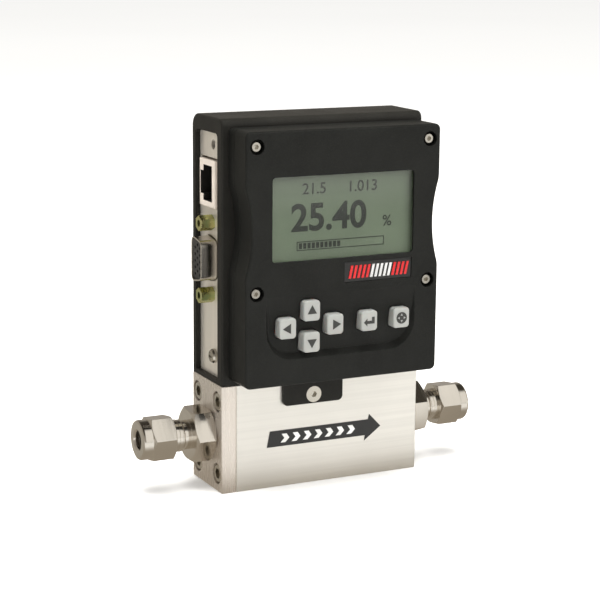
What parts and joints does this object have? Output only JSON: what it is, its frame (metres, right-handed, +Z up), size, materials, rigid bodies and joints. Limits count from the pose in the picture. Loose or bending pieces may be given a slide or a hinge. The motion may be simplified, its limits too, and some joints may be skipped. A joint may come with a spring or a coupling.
{
  "type": "mass flow controller",
  "caption": "Gas mass flow controller: steel flow block with compression tube fittings, sensor and valve, and a housing with display and keypad on top.",
  "frame": {"origin": "centre of the flow block's underside", "axes": "+X along the flow from inlet to outlet, +Y to the back, +Z up; the display faces -Y"},
  "size_m": [0.1282, 0.0428, 0.1293],
  "materials": {
    "stainless_block": "brushed",
    "polished_steel": "polished",
    "screw_steel": "satin",
    "inner_steel": "machined",
    "seal_rubber": "matte",
    "housing_black": "fine grain",
    "module_black": "fine grain",
    "plate_silver": "satin",
    "jack_grey": "satin",
    "contact_gold": "plated",
    "connector_tin": "tin plated",
    "connector_black": "moulded",
    "copper_wire": "enamelled",
    "chromate": "chromated",
    "board_green": "coated",
    "window_clear": "clear",
    "lcd_green": "liquid crystal",
    "key_grey": "moulded",
    "label_black": "printed film",
    "badge_dark": "printed film"
  },
  "bodies": {
    "instrument": {"back_ferrules": "polished_steel", "badge_plate": "badge_dark", "blind_plate": "plate_silver", "bracket_screws": "screw_steel", "connector_plate": "plate_silver", "cover_screws": "screw_steel", "data_connector_insulator": "connector_black", "data_connector_shell": "connector_tin", "display_back": "module_black", "display_bezel": "module_black", "display_board": "board_green", "display_header": "connector_black", "display_screws": "screw_steel", "display_window": "window_clear", "end_brackets": "inner_steel", "flow_arrow": "label_black", "flow_body": "stainless_block", "front_ferrules": "polished_steel", "housing_cover": "housing_black", "inlet_block": "stainless_block", "inlet_block_screws": "screw_steel", "inlet_block_seal": "seal_rubber", "inlet_fitting_body": "polished_steel", "inlet_nut": "polished_steel", "inlet_screen": "inner_steel", "jack_contacts": "contact_gold", "jackscrews": "chromate", "keypad_mat": "seal_rubber", "laminar_element": "inner_steel", "lcd_panel": "lcd_green", "main_board": "board_green", "module_screws": "screw_steel", "network_jack": "jack_grey", "outlet_fitting_body": "polished_steel", "outlet_nut": "polished_steel", "plate_screws": "screw_steel", "port_seals": "seal_rubber", "sensor_base": "inner_steel", "sensor_cover": "inner_steel", "sensor_screws": "screw_steel", "sensor_seals": "seal_rubber", "sensor_tube": "inner_steel", "sensor_windings": "copper_wire", "valve_bobbin": "connector_black", "valve_core_seal": "seal_rubber", "valve_core_tube": "inner_steel", "valve_nut": "screw_steel", "valve_orifice": "inner_steel", "valve_screws": "screw_steel", "valve_spring": "inner_steel", "valve_winding": "copper_wire", "valve_yoke": "inner_steel"},
    "key_left": {"key_left": "key_grey"},
    "key_right": {"key_right": "key_grey"},
    "key_up": {"key_up": "key_grey"},
    "key_down": {"key_down": "key_grey"},
    "key_enter": {"key_enter": "key_grey"},
    "key_menu": {"key_menu": "key_grey"},
    "valve_plunger": {"valve_plunger": "inner_steel"}
  },
  "joints": [
    {"name": "key_left_press", "type": "slide", "parent": "instrument", "child": "key_left", "axis": [0, 1, 0], "range_m": [0, 0.0008], "stiffness_N_per_m": 1500, "springref_m": -0.0004},
    {"name": "key_right_press", "type": "slide", "parent": "instrument", "child": "key_right", "axis": [0, 1, 0], "range_m": [0, 0.0008], "stiffness_N_per_m": 1500, "springref_m": -0.0004},
    {"name": "key_up_press", "type": "slide", "parent": "instrument", "child": "key_up", "axis": [0, 1, 0], "range_m": [0, 0.0008], "stiffness_N_per_m": 1500, "springref_m": -0.0004},
    {"name": "key_down_press", "type": "slide", "parent": "instrument", "child": "key_down", "axis": [0, 1, 0], "range_m": [0, 0.0008], "stiffness_N_per_m": 1500, "springref_m": -0.0004},
    {"name": "key_enter_press", "type": "slide", "parent": "instrument", "child": "key_enter", "axis": [0, 1, 0], "range_m": [0, 0.0008], "stiffness_N_per_m": 1500, "springref_m": -0.0004},
    {"name": "key_menu_press", "type": "slide", "parent": "instrument", "child": "key_menu", "axis": [0, 1, 0], "range_m": [0, 0.0008], "stiffness_N_per_m": 1500, "springref_m": -0.0004},
    {"name": "valve_lift", "type": "slide", "parent": "instrument", "child": "valve_plunger", "axis": [0, 0, 1], "range_m": [0, 0.0005], "stiffness_N_per_m": 2500, "springref_m": -0.0005}
  ]
}
